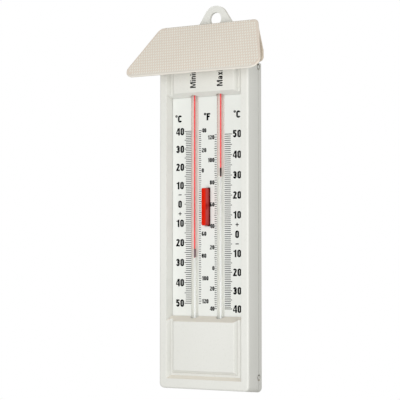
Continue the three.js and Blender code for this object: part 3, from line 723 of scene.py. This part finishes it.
def glyph(character, pen):
    """A character as (width, parts). A part is an outline followed by its holes, in cap heights."""
    a = pen / 2
    w = 0.5
    r = w - a
    half = w / 2 - a
    mid = w / 2
    x_height = 0.73
    if character == "0":
        return w, [loop(0, w, 0, 1, pen)]
    if character == "1":
        stem = 0.2
        return 0.44, [[[(stem, 0), (stem + pen, 0), (stem + pen, 1), (stem + 0.3 * pen, 1),
                        (stem - 0.03, 0.88), (0.03, 0.84), (0.03, 0.72), (stem, 0.72)]]]
    if character == "2":
        top = arc(mid, 1 - a - half, half, half, 170, -25)
        return w, [stroke(top + [(a + 0.02, a)], pen), bar(0, w, 0, pen * 0.95)]
    if character == "3":
        upper = arc(mid, 1 - a - 0.21, half, 0.21, 165, -90) + [(mid - 0.08, 1 - a - 0.42)]
        lower = [(mid - 0.08, a + 0.47)] + arc(mid, a + 0.235, half, 0.235, 90, -165)
        return w, [stroke(upper, pen), stroke(lower, pen)]
    if character == "4":
        stem, cross = 0.28, 0.2
        return w, [[[(stem, 0), (stem + pen, 0), (stem + pen, cross), (w + 0.03, cross),
                     (w + 0.03, cross + 0.15), (stem + pen, cross + 0.15), (stem + pen, 1), (stem - 0.04, 1),
                     (0, cross + 0.17), (0, cross), (stem, cross)],
                    [(stem, cross + 0.15), (0.13, cross + 0.15), (stem, 0.72)]]]
    if character == "5":
        bowl = arc(mid, a + 0.245, half, 0.245, 125, -165)
        return w, [stroke([(w - 0.03, 1 - a), (a + 0.03, 1 - a), (a + 0.01, 0.5)], pen), stroke(bowl, pen)]
    if character == "6":
        back = arc(mid, 1 - a - half, half, half, 20, 180)
        return w, [loop(0, w, 0, 0.6, pen), stroke(back + [(a, 0.3)], pen)]
    if character == "8":
        return w, [loop(0, w, 0, 0.56, pen), loop(0.02, w - 0.02, 0.56 - pen, 1, pen)]
    if character == "+":
        low, high = 0.5 - a, 0.5 + a
        return w, [[[(0, low), (mid - a, low), (mid - a, 0.5 - mid), (mid + a, 0.5 - mid), (mid + a, low),
                     (w, low), (w, high), (mid + a, high), (mid + a, 0.5 + mid), (mid - a, 0.5 + mid),
                     (mid - a, high), (0, high)]]]
    if character == "-":
        return w, [bar(0, w, 0.5 - a, 0.5 + a)]
    if character == "°":
        return 0.34, [loop(0, 0.34, 0.72, 1.06, pen * 0.6)]
    if character == "C":
        half = 0.29 - a
        top = arc(0.29, 1 - a - half, half, half, 15, 180)
        bottom = arc(0.29, a + half, half, half, 180, 345)
        return 0.6, [stroke(top + bottom, pen)]
    if character == "F":
        return w, [[[(0, 0), (pen, 0), (pen, 0.42), (w - 0.07, 0.42), (w - 0.07, 0.42 + pen),
                     (pen, 0.42 + pen), (pen, 1 - pen), (w, 1 - pen), (w, 1), (0, 1)]]]
    if character == "M":
        wide = 0.86
        middle = wide / 2
        return wide, [[[(0, 0), (pen, 0), (pen, 0.7), (middle - 0.35 * pen, 0), (middle + 0.35 * pen, 0),
                        (wide - pen, 0.7), (wide - pen, 0), (wide, 0), (wide, 1), (wide - 1.3 * pen, 1),
                        (middle, 0.3), (1.3 * pen, 1), (0, 1)]]]
    if character == "i":
        return pen, [bar(0, pen, 0, x_height), bar(0, pen, 0.86, 1)]
    if character in "nm":
        arches = 1 if character == "n" else 2
        parts = [bar(0, pen, 0, x_height)]
        for k in range(arches):
            left = k * (w - pen) * 0.95
            spring = x_height - a - half
            arch = arc(left + mid, spring, half, half, 165, 0)
            parts.append(stroke(arch + [(left + r, 0)], pen))
        return w + (arches - 1) * (w - pen) * 0.95, parts
    if character == "u":
        return w, [bar(w - pen, w, 0, x_height),
                   stroke([(a, x_height)] + arc(mid, a + half, half, half, 180, 345), pen)]
    if character == "a":
        arch = arc(mid, x_height - a - 0.17, half, 0.17, 160, 0)
        return w, [stroke(arch + [(r, 0)], pen), loop(0, w - a, 0, 0.45, pen)]
    return w, [stroke([(a, 0), (w - a, x_height)], pen), stroke([(a, x_height), (w - a, 0)], pen)]


# ---------------------------------------------------------------- printed scales
class Print:
    """Collects printed marks on one upright plane and turns them into one thin piece."""

    def __init__(self, name, face, material, slot):
        self.name = name
        self.face = face
        self.material = material
        self.slot = slot
        self.marks = bmesh.new()

    def bar(self, x0, x1, height, thickness):
        """A printed tick from x0 to x1."""
        z0, z1 = height - thickness / 2, height + thickness / 2
        corners = [point(x, self.face + depth, z)
                   for depth in (-INK_DEPTH, INK_DEPTH) for x, z in ((x0, z0), (x1, z0), (x1, z1), (x0, z1))]
        v = [self.marks.verts.new(c) for c in corners]
        for face in ((0, 1, 2, 3), (7, 6, 5, 4), (0, 4, 5, 1), (1, 5, 6, 2), (2, 6, 7, 3), (3, 7, 4, 0)):
            self.marks.faces.new([v[i] for i in face])

    def text(self, words, x, height, tall, pen=0.2, condense=1.0, align=0.5, spacing=0.09, upward=False):
        """Lettering whose capitals are tall millimetres high. x is where its align share lies, from 0 at its
        start to 1 at its end, and height is the middle of its capitals. Upward lettering is turned to be
        read from below: x is then the middle of its capitals, and height where its align share lies."""
        letters = [glyph(character, pen) for character in words]
        length = sum(width for width, _ in letters) + spacing * (len(words) - 1)
        start = -length * align
        for width, parts in letters:
            for outlines in parts:
                placed = []
                for outline in outlines:
                    spots = [((start + u) * condense * tall, (v - 0.5) * tall) for u, v in outline]
                    placed.append([(x - v, height + u) if upward else (x + u, height + v) for u, v in spots])
                self.fill(placed)
            start += width + spacing

    def fill(self, outlines):
        """One printed shape from an outline and its holes, as a thin closed solid."""
        loops = [[Vector((x, height, 0)) for x, height in outline] for outline in outlines]
        flat = [corner for ring in loops for corner in ring]
        triangles = tessellate_polygon(loops)
        front = [self.marks.verts.new(point(v.x, self.face - INK_DEPTH, v.y)) for v in flat]
        back = [self.marks.verts.new(point(v.x, self.face + INK_DEPTH, v.y)) for v in flat]
        for a, b, c in triangles:
            self.marks.faces.new((front[a], front[b], front[c]))
            self.marks.faces.new((back[c], back[b], back[a]))
        first = 0
        for outline in outlines:
            count = len(outline)
            for k in range(count):
                m, n = first + k, first + (k + 1) % count
                self.marks.faces.new((front[m], front[n], back[n], back[m]))
            first += count

    def finish(self):
        bmesh.ops.recalc_face_normals(self.marks, faces=self.marks.faces)
        mesh = bpy.data.meshes.new(self.name)
        self.marks.to_mesh(mesh)
        self.marks.free()
        return made(self.name, mesh, self.material, "case", smooth=False)


def rise(celsius):
    """How far up its scale a temperature stands, 0 at the coldest and 1 at the hottest. Spirit expands
    more when it is warm, so the degrees grow a little longer towards the hot end."""
    share = (celsius - SCALE["coldest"]) / (SCALE["hottest"] - SCALE["coldest"])
    return (1 - SCALE["bow"]) * share + SCALE["bow"] * share * share


def height_of(celsius, side):
    """The minimum scale (side -1) runs downward, and the maximum scale (side 1) upward."""
    travel = SCALE["span"] * rise(celsius)
    return SCALE["low"] + travel if side > 0 else SCALE["high"] - travel


def celsius_scale(name, side, black, fine):
    """Numerals outside and ticks beside the tube, one for each degree. The minimum side's start closer in."""
    numbers = Print(name + "_numbers", PLATE_FACE, black, "plate_plastic")
    ticks = Print(name + "_ticks", PLATE_FACE, fine, "plate_plastic")
    start, column = CELSIUS[side]["ticks"], CELSIUS[side]["numerals"]
    for degree in range(SCALE["coldest"], SCALE["hottest"] + 1):
        length = 5.0 if degree % 5 == 0 else 4.15
        ticks.bar(*sorted((side * start, side * (start + length))), height_of(degree, side), TICK)
        if degree % 10 == 0:
            numbers.text(str(abs(degree)), column, height_of(degree, side), CELSIUS_TALL,
                         pen=0.217, condense=1.14)
    for sign, degree in (("-", -5), ("+", 5)):
        numbers.text(sign, column, height_of(degree, side), 4.3, pen=0.13)
    numbers.finish()
    ticks.finish()


def fahrenheit_scale(name, side, black, fine):
    """Small numerals between the tubes, each 20 degrees, and a dash for every second degree."""
    numbers = Print(name + "_numbers", PLATE_FACE, black, "plate_plastic")
    ticks = Print(name + "_ticks", PLATE_FACE, fine, "plate_plastic")
    start, column = FAHRENHEIT[side]["ticks"], FAHRENHEIT[side]["numerals"]
    for degree in range(-40, 123, 2):
        height = height_of((degree - 32) / 1.8, side)
        end = 4.7 if degree % 10 else 4.4
        ticks.bar(*sorted((side * end, side * start)), height, TICK)
        if degree % 20 == 0:
            numbers.text(str(abs(degree)), column, height, FAHRENHEIT_TALL, pen=0.228, condense=1.14,
                         align=1.0 if side > 0 else 0.0, spacing=0.06)
    numbers.finish()
    ticks.finish()


def printed_marks():
    black = ink("printing_ink", srgb(2, 4, 8))
    fine = ink("fine_line_ink", srgb(52, 54, 56))
    for side, name in ((-1, "min"), (1, "max")):
        celsius_scale("celsius_" + name, side, black, fine)
        fahrenheit_scale("fahrenheit_" + name, side, black, fine)
    headings = Print("unit_headings", PLATE_FACE, black, "plate_plastic")
    for words, x, height in (("°C", -20.3, 164.6), ("°F", -0.5, 164.95), ("°C", 20.0, 165.4)):
        headings.text(words, x, height, 4.4, pen=0.23, condense=1.12, spacing=0.04)
    headings.finish()
    labels = Print("column_labels", PANEL_FACE, black, "case_plastic")
    for words, x in (("Minimum", -6.95), ("Maximum", 11.45)):
        labels.text(words, x, 182.2, 3.9, pen=0.175, condense=1.06, align=0.0, spacing=0.1, upward=True)
    labels.finish()


# ---------------------------------------------------------------- CAD nodes
def dress(node, material, bevel=0.0, segments=2):
    """Gives a CAD node its material, and softens its edges with modifiers."""
    piece = frame["nodes"][node]
    piece.data.materials.clear()
    piece.data.materials.append(material)
    for face in piece.data.polygons:
        face.material_index = 0
        face.use_smooth = True
    weld = piece.modifiers.new("weld", "WELD")
    weld.merge_threshold = 1e-6
    if bevel:
        flat = piece.modifiers.new("flat_faces", "DECIMATE")
        flat.decimate_type = "DISSOLVE"
        flat.angle_limit = math.radians(1.0)
        soft = piece.modifiers.new("soft_edges", "BEVEL")
        soft.width = bevel * MM
        soft.segments = segments
        soft.limit_method = "ANGLE"
        soft.angle_limit = math.radians(30)
        soft.use_clamp_overlap = True
        soft.harden_normals = False
        shade = piece.modifiers.new("weighted_normals", "WEIGHTED_NORMAL")
        shade.keep_sharp = False
    return piece


def cad_nodes(glass):
    white = white_plastic()
    dress("front_housing", white, 0.3)
    dress("back_cover", white, 0.2)
    dress("scale_plate", plate_plastic(), 0.12, 1)
    dress("reset_button", button_plastic(), 0.15)
    dress("magnet_carrier", carrier_plastic(), 0.2)
    magnets = magnet_rubber()
    for limb in ("min", "max"):
        dress("magnet_strip_" + limb, magnets, 0.25)
    spring = steel("spring_steel", srgb(200, 203, 207), srgb(176, 180, 185), (0.2, 0.36))
    for name in ("return_spring_lower", "return_spring_upper"):
        coil = dress(name, spring)
        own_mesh(coil)
    dress("spirit_bulb", glass)
    dress("expansion_bulb", glass)
    dress("indicating_fluid", clear_fluid())
    # Painted highlight: the minimum marker is a lighter copy of the marker steel, for the glass's highlight
    # over it.
    highlit_marker = marker_steel("marker_steel_highlit", srgb(116, 84, 96), srgb(92, 64, 76))
    dark = marker_steel("marker_steel", srgb(48, 20, 24), srgb(30, 14, 18))
    for marker in (dress("index_min", highlit_marker), dress("index_max", dark)):
        swell = marker.modifiers.new("as_wide_as_the_glass_shows", "DISPLACE")
        swell.mid_level = 0
        swell.strength = MARKER_SWELL * MM
    glue = adhesive()
    for limb in ("min", "max"):
        for end in ("upper", "lower"):
            dress(f"adhesive_dab_{limb}_{end}", glue)


# ---------------------------------------------------------------- camera, floor and light
def look(obj, target):
    obj.rotation_mode = "QUATERNION"
    obj.rotation_quaternion = (Vector(target) - obj.location).to_track_quat("-Z", "Y")


def camera():
    data = bpy.data.cameras.new("camera")
    data.lens = 122.82
    data.sensor_width = 36
    data.clip_start = 0.01
    data.clip_end = 50
    eye = placed("camera", data)
    eye.location = (0.40106, -0.72619, -0.15067)
    look(eye, (-0.00746, -0.008, -0.11098))
    bpy.context.scene.camera = eye


def area_light(name, place, target, power):
    data = bpy.data.lights.new(name, "AREA")
    data.shape = "SQUARE"
    data.size = LAMP_SIZE
    data.energy = power
    lamp = placed(name, data)
    lamp.location = place
    look(lamp, target)


def world():
    """White to the camera. For light it is cool below and warm above, and stronger from the right."""
    sky = bpy.data.worlds.new("studio")
    bpy.context.scene.world = sky
    sky.use_nodes = True
    nodes, link = sky.node_tree.nodes, sky.node_tree.links.new
    seen = nodes["Background"]
    seen.inputs["Color"].default_value = (1, 1, 1, 1)
    seen.inputs["Strength"].default_value = 1.0
    towards = nodes.new("ShaderNodeSeparateXYZ")
    link(nodes.new("ShaderNodeTexCoord").outputs["Generated"], towards.inputs[0])
    share = nodes.new("ShaderNodeMapRange")
    share.inputs["From Min"].default_value = -1
    link(towards.outputs["Z"], share.inputs["Value"])
    tint = nodes.new("ShaderNodeMix")
    tint.data_type = "RGBA"
    tint.inputs[6].default_value = (0.965, 1.0, 1.0, 1)
    tint.inputs[7].default_value = (1.0, 0.965, 0.91, 1)
    link(share.outputs[0], tint.inputs[0])
    strength = nodes.new("ShaderNodeMapRange")
    for socket, value in (("From Min", -1), ("To Min", 0.3), ("To Max", 0.56)):
        strength.inputs[socket].default_value = value
    link(towards.outputs["X"], strength.inputs["Value"])
    lit = nodes.new("ShaderNodeBackground")
    link(tint.outputs[2], lit.inputs["Color"])
    link(strength.outputs[0], lit.inputs["Strength"])
    mixed = nodes.new("ShaderNodeMixShader")
    link(nodes.new("ShaderNodeLightPath").outputs["Is Camera Ray"], mixed.inputs[0])
    link(lit.outputs[0], mixed.inputs[1])
    link(seen.outputs[0], mixed.inputs[2])
    link(mixed.outputs[0], nodes["World Output"].inputs["Surface"])


def lamps():
    middle = (0, 0, -0.1)
    area_light("low_front_light", (0.0, -0.8, -0.3), middle, 2.0)
    area_light("front_light", (0.28, -0.79, -0.08), middle, 2.1)
    area_light("right_light", (0.9, -0.15, 0.05), middle, 1.6)


def floor():
    square = ((-1, -1), (1, -1), (1, 1), (-1, 1))
    corners = [(x * FLOOR_HALF, y * FLOOR_HALF, BOTTOM - FLOOR_DROP) for x, y in square]
    mesh = bpy.data.meshes.new("floor")
    mesh.from_pydata(corners, [], [(0, 1, 2, 3)])
    s = Shader("floor_paint", Roughness=0.8)
    s.set("Base Color", s.mottled(3, (0.9, 0.9, 0.89, 1), (0.87, 0.87, 0.86, 1)))
    mesh.materials.append(s.material)
    placed("floor", mesh)


bpy.context.scene.view_settings.view_transform = "Standard"
camera()
world()
lamps()
floor()
cad_nodes(glass_and_liquids())
rain_hood()
printed_marks()
